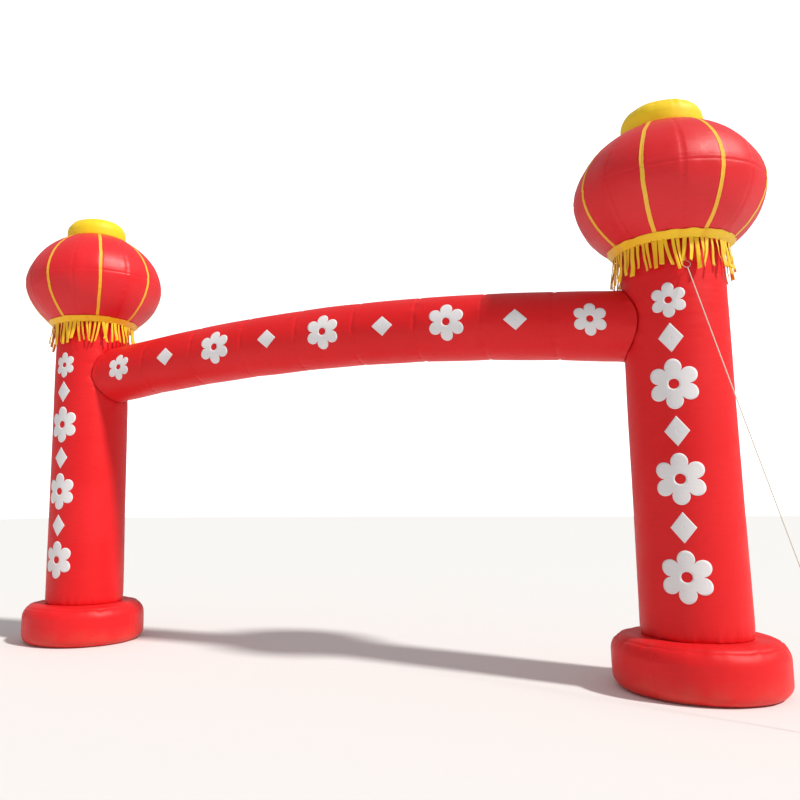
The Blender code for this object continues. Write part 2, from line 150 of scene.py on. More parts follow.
def patchCloth(name, top, thickness, normals, cloth, material, closeAcross=False):
    # top: (rows, across, 3) points of the outer face. The inner face is one thickness below.
    rows, across = top.shape[:2]
    inner = top - normals * thickness
    points = np.vstack([top.reshape(-1, 3), inner.reshape(-1, 3)])
    half = rows * across
    step = across if closeAcross else across - 1
    row, col = np.meshgrid(np.arange(rows - 1), np.arange(step), indexing="ij")
    following = (col + 1) % across
    corners = [row * across + col, row * across + following,
               (row + 1) * across + following, (row + 1) * across + col]
    outer = np.stack(corners, -1).reshape(-1, 4)
    faces = [outer, outer[:, ::-1] + half]
    edge = [(0, c, 0, (c + 1) % across) for c in range(step)]
    edge += [(rows - 1, (c + 1) % across, rows - 1, c) for c in range(step)]
    if not closeAcross:
        edge += [(r + 1, 0, r, 0) for r in range(rows - 1)]
        edge += [(r, across - 1, r + 1, across - 1) for r in range(rows - 1)]
    rim = np.array([[a * across + b, c * across + d] for a, b, c, d in edge])
    faces.append(np.stack([rim[:, 1], rim[:, 0], rim[:, 0] + half, rim[:, 1] + half], -1))
    faces = np.vstack(faces)
    flat = np.vstack([cloth.reshape(-1, 2), cloth.reshape(-1, 2)])
    return linkMesh(name, points, faces.tolist(), flat[faces].reshape(-1, 2), material)


def surfaceNormals(points, closeAcross=False):
    if closeAcross:
        across = np.roll(points, -1, 1) - np.roll(points, 1, 1)
    else:
        across = np.gradient(points, axis=1)
    along = np.gradient(points, axis=0)
    normal = np.cross(across, along)
    return normal / np.maximum(np.linalg.norm(normal, axis=2, keepdims=True), 1e-12)


def declareAir(piece, cadName):
    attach(piece, "root")
    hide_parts(cadName)


# materials

def node(tree, kind, place, **values):
    made = tree.nodes.new(kind)
    made.location = place
    for key, value in values.items():
        setattr(made, key, value)
    return made


def mixColour(tree, share, first, second, place):
    mix = node(tree, "ShaderNodeMix", place, data_type="RGBA")
    for slotIndex, value in ((0, share), (6, first), (7, second)):
        if isinstance(value, bpy.types.NodeSocket):
            tree.links.new(value, mix.inputs[slotIndex])
        elif slotIndex == 0:
            mix.inputs[0].default_value = value
        else:
            mix.inputs[slotIndex].default_value = (*value, 1)
    return mix.outputs[2]


def ranged(tree, value, low, high, outLow, outHigh, place):
    change = node(tree, "ShaderNodeMapRange", place)
    change.inputs["From Min"].default_value = low
    change.inputs["From Max"].default_value = high
    change.inputs["To Min"].default_value = outLow
    change.inputs["To Max"].default_value = outHigh
    tree.links.new(value, change.inputs["Value"])
    return change.outputs["Result"]


def noiseOn(tree, vector, scale, detail, place, stretch=(1, 1, 1)):
    mapping = node(tree, "ShaderNodeMapping", (place[0] - 200, place[1]))
    mapping.inputs["Scale"].default_value = stretch
    tree.links.new(vector, mapping.inputs["Vector"])
    noise = node(tree, "ShaderNodeTexNoise", place)
    noise.inputs["Scale"].default_value = scale
    noise.inputs["Detail"].default_value = detail
    tree.links.new(mapping.outputs["Vector"], noise.inputs["Vector"])
    return noise.outputs["Fac"]


def weaveOn(tree, uv, thread, place):
    # two crossing sets of fine ridges, one thread apart
    parts = node(tree, "ShaderNodeSeparateXYZ", (place[0] - 600, place[1]))
    tree.links.new(uv, parts.inputs[0])
    ridges = []
    for index in (0, 1):
        grow = node(tree, "ShaderNodeMath", (place[0] - 400, place[1] - 160 * index), operation="MULTIPLY")
        grow.inputs[1].default_value = math.pi / thread
        tree.links.new(parts.outputs[index], grow.inputs[0])
        wave = node(tree, "ShaderNodeMath", (place[0] - 200, place[1] - 160 * index), operation="SINE")
        tree.links.new(grow.outputs[0], wave.inputs[0])
        ridges.append(wave.outputs[0])
    cross = node(tree, "ShaderNodeMath", place, operation="MULTIPLY")
    tree.links.new(ridges[0], cross.inputs[0])
    tree.links.new(ridges[1], cross.inputs[1])
    return cross.outputs[0]


def bumpOn(tree, height, strength, distance, below, place):
    bump = node(tree, "ShaderNodeBump", place)
    bump.inputs["Strength"].default_value = strength
    bump.inputs["Distance"].default_value = distance
    tree.links.new(height, bump.inputs["Height"])
    if below is not None:
        tree.links.new(below, bump.inputs["Normal"])
    return bump.outputs["Normal"]


def coatedCloth(name, look):
    # coated oxford cloth: soft shine, thread grid, faint creasing, fading and road dust low down
    material = bpy.data.materials.new(name)
    material.use_nodes = True
    tree = material.node_tree
    shader = tree.nodes["Principled BSDF"]
    coords = node(tree, "ShaderNodeTexCoord", (-1500, 0))
    uv, place = coords.outputs["UV"], coords.outputs["Object"]
    fading = noiseOn(tree, place, look["fadeScale"], 3, (-900, 300))
    mottled = ranged(tree, fading, 0.35, 0.7, 0, look["fadeShare"], (-700, 300))
    colour = mixColour(tree, mottled, look["colour"], look["faded"], (-500, 300))
    streaks = noiseOn(tree, uv, 9, 4, (-900, 80), (1, look["streak"], 1))
    colour = mixColour(tree, ranged(tree, streaks, 0.45, 0.75, 0, look["streakShare"], (-700, 80)),
                       colour, look["deep"], (-320, 300))
    if look.get("dust"):
        height = node(tree, "ShaderNodeSeparateXYZ", (-1100, -160))
        tree.links.new(place, height.inputs[0])
        low = ranged(tree, height.outputs[2], 0.0, look["dustTop"], look["dust"], 0, (-900, -160))
        blotch = noiseOn(tree, place, 7, 5, (-900, -340))
        spread = node(tree, "ShaderNodeMath", (-500, -200), operation="MULTIPLY")
        tree.links.new(low, spread.inputs[0])
        tree.links.new(ranged(tree, blotch, 0.35, 0.7, 0.2, 1, (-700, -340)), spread.inputs[1])
        colour = mixColour(tree, spread.outputs[0], colour, look["dustColour"], (-160, 300))
    tree.links.new(colour, shader.inputs["Base Color"])
    shine = noiseOn(tree, place, 5, 3, (-900, -520))
    rough = ranged(tree, shine, 0.3, 0.7, look["rough"] - 0.05, look["rough"] + 0.07, (-500, -420))
    tree.links.new(rough, shader.inputs["Roughness"])
    shader.inputs["Specular IOR Level"].default_value = look["shine"]
    shader.inputs["Sheen Weight"].default_value = look["sheen"]
    shader.inputs["Sheen Roughness"].default_value = 0.45
    shader.inputs["Sheen Tint"].default_value = (*look["sheenTint"], 1)
    creases = noiseOn(tree, uv, look["creaseScale"], 6, (-900, -700), look["creaseStretch"])
    normal = bumpOn(tree, creases, look["crease"], 0.004, None, (-500, -700))
    normal = bumpOn(tree, weaveOn(tree, uv, look["thread"], (-500, -900)), look["weave"], 0.0004,
                    normal, (-300, -700))
    tree.links.new(normal, shader.inputs["Normal"])
    return material


redLook = {
    "colour": (0.74, 0.006, 0.009), "faded": (0.80, 0.014, 0.018), "deep": (0.60, 0.003, 0.006),
    "fadeScale": 1.4, "fadeShare": 0.7, "streak": 6, "streakShare": 0.25,
    "dust": 0.35, "dustTop": 0.22, "dustColour": (0.42, 0.16, 0.10),
    "rough": 0.46, "shine": 0.30, "sheen": 0.07, "sheenTint": (1.0, 0.35, 0.35),
    "creaseScale": 26, "creaseStretch": (0.35, 1.6, 1), "crease": 0.16, "thread": 0.0011, "weave": 0.25,
}
lanternLook = dict(redLook, colour=(0.72, 0.007, 0.013), faded=(0.78, 0.018, 0.026), dust=0,
                   creaseStretch=(1.4, 0.5, 1), rough=0.42, shine=0.42, sheen=0.10)
yellowLook = dict(redLook, colour=(0.96, 0.66, 0.010), faded=(0.98, 0.78, 0.05), deep=(0.92, 0.48, 0.008),
                  dust=0, sheenTint=(1.0, 0.95, 0.7), creaseStretch=(1.6, 0.5, 1), crease=0.2)
ribLook = dict(yellowLook, colour=(0.93, 0.48, 0.020), faded=(0.96, 0.62, 0.10), deep=(0.80, 0.30, 0.01),
               rough=0.5, thread=0.0018, weave=0.5, creaseScale=40)
fringeLook = dict(yellowLook, colour=(0.95, 0.52, 0.010), faded=(0.98, 0.70, 0.03), deep=(0.85, 0.34, 0.006),
                  rough=0.40, sheen=0.3, streak=0.3, streakShare=0.5, creaseStretch=(2.5, 0.5, 1))
whiteLook = dict(redLook, colour=(0.80, 0.78, 0.80), faded=(0.86, 0.85, 0.86), deep=(0.70, 0.66, 0.69),
                 dust=0, rough=0.55, shine=0.3, sheen=0.1, sheenTint=(1, 1, 1), crease=0.12, weave=0.4)
strapLook = dict(redLook, colour=(0.50, 0.012, 0.018), deep=(0.35, 0.01, 0.01), thread=0.0022,
                 weave=0.8, dust=0)

redCloth = coatedCloth("red coated cloth", redLook)
lanternCloth = coatedCloth("lantern cloth", lanternLook)
yellowCloth = coatedCloth("yellow coated cloth", yellowLook)
ribTape = coatedCloth("yellow rib tape", ribLook)
fringeCloth = coatedCloth("fringe satin", fringeLook)
whiteCloth = coatedCloth("white applique cloth", whiteLook)
strapCloth = coatedCloth("red strap", strapLook)


def ropeFinish():
    material = bpy.data.materials.new("laid rope")
    material.use_nodes = True
    tree = material.node_tree
    shader = tree.nodes["Principled BSDF"]
    coords = node(tree, "ShaderNodeTexCoord", (-900, 0))
    fibres = noiseOn(tree, coords.outputs["Object"], 160, 4, (-500, 0), (1, 1, 0.25))
    colour = mixColour(tree, fibres, (0.62, 0.55, 0.44), (0.82, 0.77, 0.66), (-250, 100))
    tree.links.new(colour, shader.inputs["Base Color"])
    tree.links.new(bumpOn(tree, fibres, 0.6, 0.001, None, (-250, -200)), shader.inputs["Normal"])
    shader.inputs["Roughness"].default_value = 0.8
    return material


def steelFinish():
    material = bpy.data.materials.new("zinc steel")
    material.use_nodes = True
    tree = material.node_tree
    shader = tree.nodes["Principled BSDF"]
    coords = node(tree, "ShaderNodeTexCoord", (-900, 0))
    spangle = noiseOn(tree, coords.outputs["Object"], 120, 5, (-500, 0))
    colour = mixColour(tree, spangle, (0.42, 0.42, 0.43), (0.62, 0.62, 0.63), (-250, 100))
    tree.links.new(colour, shader.inputs["Base Color"])
    tree.links.new(ranged(tree, spangle, 0.3, 0.7, 0.32, 0.5, (-250, -100)), shader.inputs["Roughness"])
    shader.inputs["Metallic"].default_value = 1
    return material


ropeFibre = ropeFinish()
zincSteel = steelFinish()
print("materials made")


# guy rope

rope = {
    "diameter": 0.008,
    "route": ((3.4285, -0.4387, 3.4647), (3.5908, -0.5875, 2.7735), (3.7534, -0.7373, 2.0870),
              (3.9160, -0.8870, 1.4054), (4.0786, -1.0368, 0.7285), (4.2412, -1.1865, 0.0565)),
    "points": 60,
}


def throughPoints(route, count):
    knots = [np.array(point) for point in route]
    knots = [2 * knots[0] - knots[1]] + knots + [2 * knots[-1] - knots[-2]]
    spans = len(knots) - 3
    for place in np.linspace(0, spans, count):
        index = min(int(place), spans - 1)
        t = place - index
        a, b, c, d = knots[index:index + 4]
        bend = (2 * a - 5 * b + 4 * c - d) * t * t + (3 * b - a - 3 * c + d) * t ** 3
        yield b + 0.5 * ((c - a) * t + bend)


def makeRope():
    course = list(throughPoints(rope["route"], rope["points"]))
    curve = bpy.data.curves.new("guyRope", "CURVE")
    curve.dimensions = "3D"
    curve.bevel_depth = rope["diameter"] / 2
    curve.bevel_resolution = 4
    curve.use_fill_caps = True
    line = curve.splines.new("POLY")
    line.points.add(len(course) - 1)
    for slotPoint, point in zip(line.points, course):
        slotPoint.co = (*point, 1)
    curve.materials.append(ropeFibre)
    piece = bpy.data.objects.new("guyRope", curve)
    bpy.context.scene.collection.objects.link(piece)
    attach(piece, "root")
    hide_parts("guy_rope")
    for name, finish in (("guy_eye", ropeFibre), ("guy_peg", zincSteel), ("guy_ring", zincSteel)):
        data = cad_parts[name].data
        data.materials.clear()
        data.materials.append(finish)
        data.shade_smooth()


makeRope()


# shapes that other pieces are sewn to

centreX = {side: sum(corner.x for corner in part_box(f"column_{side}")) / 2 for side in sides}
columnLow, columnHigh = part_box("column_right")
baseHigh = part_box("base_right")[1]

beam = {
    "radius": 0.3215, "endHeight": 3.055, "rise": 0.243, "section": 0.655, "sections": 9,
    "seamDip": 0.007, "seamWidth": 0.016, "swell": 0.0035, "pucker": 0.0042, "puckerReach": 0.055,
    "around": 112, "along": 560, "columnGap": 0.0012,
}
column = {
    "footRadius": 0.441, "topRadius": 0.428, "around": 264, "rows": 230,
    "seamDip": 0.010, "seamReach": 0.030, "gather": 0.0040, "gatherReach": 0.085,
    "band": 0.0011, "sway": 0.0035, "joint": 0.0065, "jointReach": 0.075,
    "backSeam": 78,      # degrees round from +X
}


def archHeight(x):
    # straight lengths between the mitred seams of the tube
    places = beam["section"] * (np.arange(beam["sections"] + 1) - beam["sections"] / 2)
    half = centreX["right"]
    heights = beam["endHeight"] + beam["rise"] * (1 - (places / half) ** 2)
    softened = np.interp(x, places, heights)
    smooth = beam["endHeight"] + beam["rise"] * (1 - (np.asarray(x) / half) ** 2)
    return 0.75 * softened + 0.25 * smooth


def columnRadius(side, angle, height):
    seed = 11 if side == "left" else 23
    share = (height - columnLow.z) / (columnHigh.z - columnLow.z)
    radius = column["footRadius"] + share * (column["topRadius"] - column["footRadius"])
    arc = angle * column["footRadius"]
    turn = (angle % math.tau) / math.tau
    fromFoot, fromTop = height - columnLow.z, columnHigh.z - height
    # slow sway of the filled cloth, then fine level wrinkles that run part of the way around
    radius = radius + column["sway"] * softNoise(turn * 5, height * 1.3, seed, 5)
    level = softNoise(turn * 9, height * 36 + 1.5 * np.sin(2 * arc), seed + 1, 9)
    patch = softNoise(turn * 6, height * 1.7, seed + 2, 6) + 0.35 + fade(fromTop - 0.5, 0.4)
    patch = 0.35 + 0.65 * np.clip(patch, 0, 1)
    radius = radius + column["band"] * level * patch
    # gathers at the foot seam and under the lantern
    for distance, salt, amount in ((fromFoot, 3, 1.0), (fromTop, 4, 0.8)):
        gathers = softNoise(turn * 58, distance * 5, seed + salt, 58)
        gathers = gathers + 0.5 * softNoise(turn * 101, distance * 9, seed + salt + 9, 101)
        radius = radius + amount * column["gather"] * gathers * fade(distance, column["gatherReach"])
        radius = radius - column["seamDip"] * amount * fade(distance, column["seamReach"])
    # puckers that fan out from the tube's saddle seam
    inward = -sides[side]
    facing = np.cos(angle) * inward
    y = radius * np.sin(angle)
    rise = height - archHeight(centreX["right"] - column["topRadius"])
    around = np.arctan2(rise, y) / math.tau % 1
    away = np.hypot(y, rise) - beam["radius"]
    onSide = np.clip(facing * 4, 0, 1)
    outside = np.clip(away / 0.012, 0, 1)
    fan = softNoise(around * 38, away * 4, seed + 6, 38)
    fan = fan + 0.5 * softNoise(around * 67, away * 8, seed + 7, 67)
    dying = np.exp(-np.maximum(away, 0) / column["jointReach"])
    radius = radius + column["joint"] * fan * dying * onSide * outside
    radius = radius - 0.006 * dent(away, 0.03) * onSide
    radius = radius - 0.004 * onSide * (1 - outside)
    # long panel seam down the back
    back = wrapAngle(angle - math.radians(column["backSeam"])) * column["footRadius"]
    puckers = softNoise(height * 22, 0 * height, seed + 8)
    radius = radius - 0.0035 * dent(back, 0.007) + 0.0012 * fade(back, 0.05) * puckers
    return radius


def columnPoint(side, angle, height, lift=0.0):
    radius = columnRadius(side, angle, height) + lift
    place = [centreX[side] + radius * np.cos(angle), radius * np.sin(angle), height + 0 * radius]
    return np.stack(place, -1)


def makeColumn(side):
    angles = np.linspace(0, math.tau, column["around"], endpoint=False)
    foot, top = columnLow.z + 0.0005, columnHigh.z - 0.0005
    share = np.linspace(0, 1, column["rows"])
    heights = foot + (top - foot) * (share - 0.06 * np.sin(math.tau * share))
    angle, height = np.meshgrid(angles, heights)
    rings = columnPoint(side, angle, height)
    arc = np.linspace(0, math.tau, column["around"] + 1) * column["footRadius"]
    cloth = np.stack(np.meshgrid(arc, heights), -1)
    piece = closedTube(f"column{side.title()}", rings, cloth, redCloth)
    declareAir(piece, f"column_{side}")


for side in sides:
    makeColumn(side)
print("columns made")


# drum bases

base = {
    "radius": baseHigh.x - centreX["right"], "height": baseHigh.z, "round": 0.144, "around": 260,
    "ripple": 0.0065, "rippleReach": 0.055, "seamTurn": 38, "bottomRound": 0.10,
    "sideSeams": (-118, 2, 122),      # degrees round from +X
}


def drumOutline():
    # bottom centre out, up the side, over the round shoulder and in to the column
    r, h, k, b = base["radius"] - 0.002, base["height"], base["round"], base["bottomRound"]
    line = [(reach, 0.0) for reach in np.linspace(0.02, r - b, 14)]
    line += [(r - b + b * math.sin(t), b - b * math.cos(t)) for t in np.linspace(0.08, math.pi / 2, 16)]
    line += [(r + 0.001 * math.sin(math.pi * t), b + t * (h - k - b)) for t in np.linspace(0.06, 0.94, 12)]
    line += [(r - k + k * math.cos(t), h - k + k * math.sin(t)) for t in np.linspace(0, math.pi / 2, 26)]
    line += [(reach, h - 0.001) for reach in np.linspace(r - k - 0.006, column["footRadius"] - 0.02, 12)]
    line += [(reach, h - 0.004) for reach in np.linspace(column["footRadius"] - 0.04, 0.02, 8)]
    return np.array(line)


def makeBase(side):
    seed = 41 if side == "left" else 57
    line = drumOutline()
    step = np.gradient(line, axis=0)
    out = np.stack([step[:, 1], -step[:, 0]], -1)
    out /= np.linalg.norm(out, axis=1, keepdims=True)
    run = np.concatenate([[0], np.cumsum(np.linalg.norm(np.diff(line, axis=0), axis=1))])
    k = base["round"]
    corner = math.radians(base["seamTurn"])
    seamAt = (base["radius"] - k + k * math.sin(corner), base["height"] - k + k * math.cos(corner))
    seamRun = run[np.argmin(np.hypot(line[:, 0] - seamAt[0], line[:, 1] - seamAt[1]))]
    angles = np.linspace(0, math.tau, base["around"], endpoint=False)
    angle, along = np.meshgrid(angles, run)
    turn = angle / math.tau
    fromSeam = along - seamRun
    ripples = softNoise(turn * 66, along * 4, seed, 66) + 0.6 * softNoise(turn * 37, along * 3, seed + 1, 37)
    above, below = fade(fromSeam, base["rippleReach"] * 1.3), fade(fromSeam, base["rippleReach"])
    push = base["ripple"] * ripples
    push = push * np.where(fromSeam > 0, above, below)
    push = push - 0.0065 * dent(fromSeam, 0.010)
    push = push + 0.004 * softNoise(turn * 7, along * 3, seed + 2, 7)
    height = np.broadcast_to(line[:, 1][:, None], push.shape)
    reach = np.broadcast_to(line[:, 0][:, None], push.shape)
    for seam in base["sideSeams"]:
        off = wrapAngle(angle - math.radians(seam)) * base["radius"]
        onSide = np.clip((base["height"] - k * 0.4 - height) / 0.03, 0, 1)
        puckers = softNoise(along * 24, 0 * along, seed + 4)
        push = push - onSide * (0.006 * dent(off, 0.009) - 0.002 * fade(off, 0.06) * puckers)
    # short creases where the drum meets the ground
    push = push + 0.004 * softNoise(turn * 48, along * 5, seed + 3, 48) * fade(height - 0.04, 0.035)
    still = np.clip(height / 0.03, 0, 1) * np.clip((reach - column["footRadius"] - 0.002) / 0.03, 0, 1)
    still = np.where(height > base["height"] / 2, still, np.clip(height / 0.03, 0, 1))
    push = push * still
    # the top cloth dips a little where the column's foot is sewn down
    sewn = dent(reach - column["footRadius"] - 0.012, 0.02) * (height > base["height"] / 2)
    radius = reach + push * out[:, 0][:, None]
    z = np.maximum(height + push * out[:, 1][:, None] - 0.004 * sewn, 0.0)
    z = np.where(reach < column["footRadius"], np.minimum(z, base["height"] - 0.0015), z)
    rings = np.stack([centreX[side] + radius * np.cos(angle), radius * np.sin(angle), z], -1)
    arc = np.linspace(0, math.tau, base["around"] + 1) * base["radius"]
    cloth = np.stack(np.meshgrid(arc, run), -1)
    piece = closedTube(f"base{side.title()}", rings, cloth, redCloth)
    declareAir(piece, f"base_{side}")


for side in sides:
    makeBase(side)
print("bases made")


# arched tube

def beamRadius(x, turn):
    seed = 71
    places = beam["section"] * (np.arange(beam["sections"] - 1) - (beam["sections"] - 2) / 2)
    radius = beam["radius"] + 0.003 * softNoise(turn * 5, x * 1.4 + 20, seed, 5)
    radius = radius + 0.0008 * softNoise(turn * 34 + 2 * x, x * 3 + 30, seed + 1, 34)
    middle = (x / beam["section"] + 0.5) % 1
    radius = radius + beam["swell"] * np.sin(math.pi * middle)
    for index, place in enumerate(places):
        off = x - place
        radius = radius - beam["seamDip"] * dent(off, beam["seamWidth"])
        puckers = softNoise(turn * 44, off * 6 + 9, seed + 5 + index, 44)
        puckers = puckers + 0.6 * softNoise(turn * 79, off * 10 + 9, seed + 25 + index, 79)
        radius = radius + beam["pucker"] * puckers * fade(off, beam["puckerReach"])
    return radius


def beamPoint(x, tilt, lift=0.0):
    # tilt is measured around the tube from the front, upwards
    radius = beamRadius(x, tilt / math.tau % 1) + lift
    return np.stack([x + 0 * radius, -radius * np.cos(tilt), archHeight(x) + radius * np.sin(tilt)], -1)


def saddle(y):
    # distance from the middle at which the tube's end meets the column
    wall = column["topRadius"] + column["sway"] + beam["columnGap"]
    return centreX["right"] - np.sqrt(wall ** 2 - y ** 2)


def makeBeam():
    tilts = -np.linspace(0, math.tau, beam["around"], endpoint=False)
    share = np.linspace(-1, 1, beam["along"])
    share = share + 0.035 * np.sin(math.pi * share)
    tilt, along = np.meshgrid(tilts, share)
    y = beam["radius"] * np.cos(tilt)
    x = along * saddle(y)
    rings = beamPoint(x, tilt)
    # sewn ends: the cloth flares onto the column in small gathers
    toEnd = saddle(y) - np.abs(x)
    turn = tilt / math.tau % 1
    gather = 0.007 * softNoise(turn * 36, toEnd * 5, 91, 36)
    gather = gather + 0.004 * softNoise(turn * 61, toEnd * 9, 92, 61)
    swell = gather * fade(toEnd, 0.09) * np.clip(toEnd / 0.01, 0, 1) + 0.006 * fade(toEnd, 0.02)
    rings[..., 1] -= swell * np.cos(tilt)
    rings[..., 2] += swell * np.sin(tilt)
    caps = []
    for end in (0, -1):
        edge = rings[end]
        middle = np.array([edge[:, 0].mean(), 0, edge[:, 2].mean()])
        for shrink in (0.75, 0.5, 0.25, 0.08):
            ring = middle + (edge - middle) * shrink
            ring[:, 0] = np.sign(edge[0, 0]) * saddle(ring[:, 1])
            caps.append((end, ring))
    first = [ring for end, ring in caps if end == 0][::-1]
    last = [ring for end, ring in caps if end == -1]
    rings = np.concatenate([first, rings, last])
    run = np.concatenate([[-3.2, -3.15, -3.1, -3.05], share * 3, [3.05, 3.1, 3.15, 3.2]])
    arc = np.linspace(0, math.tau, beam["around"] + 1) * beam["radius"]
    cloth = np.stack(np.meshgrid(arc, run), -1)
    piece = closedTube("archTube", rings, cloth, redCloth)
    declareAir(piece, "beam")


makeBeam()
print("arched tube made")


# lanterns

lantern = {
    "radius": 0.8085, "middle": 4.261, "upper": 0.6665, "lower": 0.6695, "power": 1.84,
    "topRadius": 0.3585, "neckRadius": 0.4465, "gores": 16,
    "turn": {"left": math.radians(1), "right": math.radians(33.2)},
    "perGore": 16, "rows": 132, "flatness": 0.5, "seamDip": 0.0095, "seamWidth": 0.013,
    "wrinkle": 0.0035, "gather": 0.0065, "gatherReach": 0.13,
    "slant": 1.55,       # along a gore from neck to top
}


def lanternOutline(share):
    # share 0 at the neck, 1 at the top ring
    bend = 2 / lantern["power"]
    top = math.acos((lantern["topRadius"] / lantern["radius"]) ** (1 / bend))
    neck = -math.acos((lantern["neckRadius"] / lantern["radius"]) ** (1 / bend))
    angle = neck + (top - neck) * share
    radius = lantern["radius"] * np.cos(angle) ** bend
    half = np.where(angle > 0, lantern["upper"], lantern["lower"])
    height = lantern["middle"] + np.sign(angle) * half * np.abs(np.sin(angle)) ** bend
    return radius, height


def lanternPoint(side, angle, share):
    seed = 101 if side == "left" else 131
    angle, share = np.broadcast_arrays(angle, share)
    radius, height = lanternOutline(share)
    goreAngle = math.tau / lantern["gores"]
    local = (angle - lantern["turn"][side]) / goreAngle
    fromSeam = np.abs(local - np.round(local)) * goreAngle * radius
    inGore = (0.5 - np.abs(local - np.floor(local) - 0.5)) * goreAngle
    polygon = math.cos(goreAngle / 2) / np.cos(goreAngle / 2 - inGore)
    reach = radius * (lantern["flatness"] * polygon + 1 - lantern["flatness"])
    turn = (angle / math.tau) % 1
    mellow = np.sin(math.pi * np.clip(share, 0, 1)) ** 0.5
    reach = reach - lantern["seamDip"] * dent(fromSeam, lantern["seamWidth"]) * (0.35 + 0.65 * mellow)
    # small puckers across each seam and long soft folds down the gores
    puckers = softNoise(local * 2, share * 46, seed, 32) * fade(fromSeam, 0.045)
    folds = softNoise(turn * 42, share * 3.1, seed + 1, 42)
    folds = folds + 0.6 * softNoise(turn * 71, share * 5.3, seed + 2, 71)
    reach = reach + lantern["wrinkle"] * (0.7 * puckers + 0.45 * folds * mellow)
    reach = reach + 0.006 * softNoise(turn * 6, share * 3, seed + 3, 6) * mellow
    fromNeck, fromTop = share * lantern["slant"], (1 - share) * lantern["slant"]
    for distance, salt in ((fromNeck, 4), (fromTop, 5)):
        gathers = softNoise(turn * 52, distance * 4, seed + salt, 52)
        gathers = gathers + 0.5 * softNoise(turn * 97, distance * 7, seed + 9 + salt, 97)
        gathers = lantern["gather"] * gathers * fade(distance, lantern["gatherReach"])
        reach = reach + gathers * np.clip(distance / 0.03, 0, 1)
    # seam around the equator
    equator = np.abs(height - lantern["middle"])
    puckers = softNoise(turn * 88, share * 9, seed + 7, 88)
    reach = reach - 0.0035 * dent(equator, 0.010) + 0.0018 * fade(equator, 0.05) * puckers
    place = [centreX[side] + reach * np.cos(angle), reach * np.sin(angle), height + 0 * reach]
    return np.stack(place, -1)


def makeLantern(side):
    around = lantern["gores"] * lantern["perGore"]
    angles = lantern["turn"][side] + np.linspace(0, math.tau, around, endpoint=False)
    share = np.linspace(0, 1, lantern["rows"])
    angle, along = np.meshgrid(angles, share)
    rings = lanternPoint(side, angle, along)
    rings[0, :, 2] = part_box(f"lantern_{side}")[0].z + 0.0006
    arc = np.linspace(0, math.tau, around + 1) * lantern["radius"]
    cloth = np.stack(np.meshgrid(arc, share * lantern["slant"]), -1)
    piece = closedTube(f"lantern{side.title()}", rings, cloth, lanternCloth)
    declareAir(piece, f"lantern_{side}")


for side in sides:
    makeLantern(side)
print("lanterns made")


# ribs: tape sewn over every second gore seam

rib = {
    "count": 8, "width": 0.034, "length": 1.5, "thickness": 0.0016, "lift": 0.0030,
    "from": 0.012, "to": 0.985, "rows": 110, "across": 7,
}


def makeRib(side, index):
    centre = lantern["turn"][side] + math.tau * index / rib["count"]
    share = np.linspace(rib["from"], rib["to"], rib["rows"])
    radius, _ = lanternOutline(share)
    over = np.linspace(-0.5, 0.5, rib["across"])
    seed = 200 + index + (20 if side == "left" else 0)
    wander = 0.0022 * softNoise(share * 14, 0 * share, seed)
    widths = (1 + 0.06 * softNoise(share * 30, 0 * share, seed + 5))[:, None]
    off = over[None, :] * rib["width"] * widths + wander[:, None]
    angle = centre + off / radius[:, None]
    along = np.broadcast_to(share[:, None], angle.shape)
    # the tape bridges the groove of the seam: its edges lie on the gores and its middle hardly dips
    bare = lanternPoint(side, angle, along)
    reach = np.hypot(bare[..., 0] - centreX[side], bare[..., 1])
    edgeReach = 0.5 * (reach[:, :1] + reach[:, -1:]) - 0.0035 * (1 - (2 * over[None, :]) ** 2)
    settled = np.maximum(reach, edgeReach) + rib["lift"]
    top = np.stack([centreX[side] + settled * np.cos(angle), settled * np.sin(angle), bare[..., 2]], -1)
    normals = surfaceNormals(top)
    cloth = np.stack(np.broadcast_arrays(off, along * lantern["slant"]), -1)
    piece = patchCloth(f"rib{side.title()}{index + 1}", top, rib["thickness"], normals, cloth, ribTape)
    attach(piece, "root")
    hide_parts(f"rib_{side}_{index + 1}")


for side in sides:
    for index in range(rib["count"]):
        makeRib(side, index)
print("ribs made")


# caps

cap = {
    "radius": 0.351, "top": 5.099, "round": 0.147, "crown": 0.024, "around": 168,
    "pleat": 0.0035, "ripple": 0.005,
}


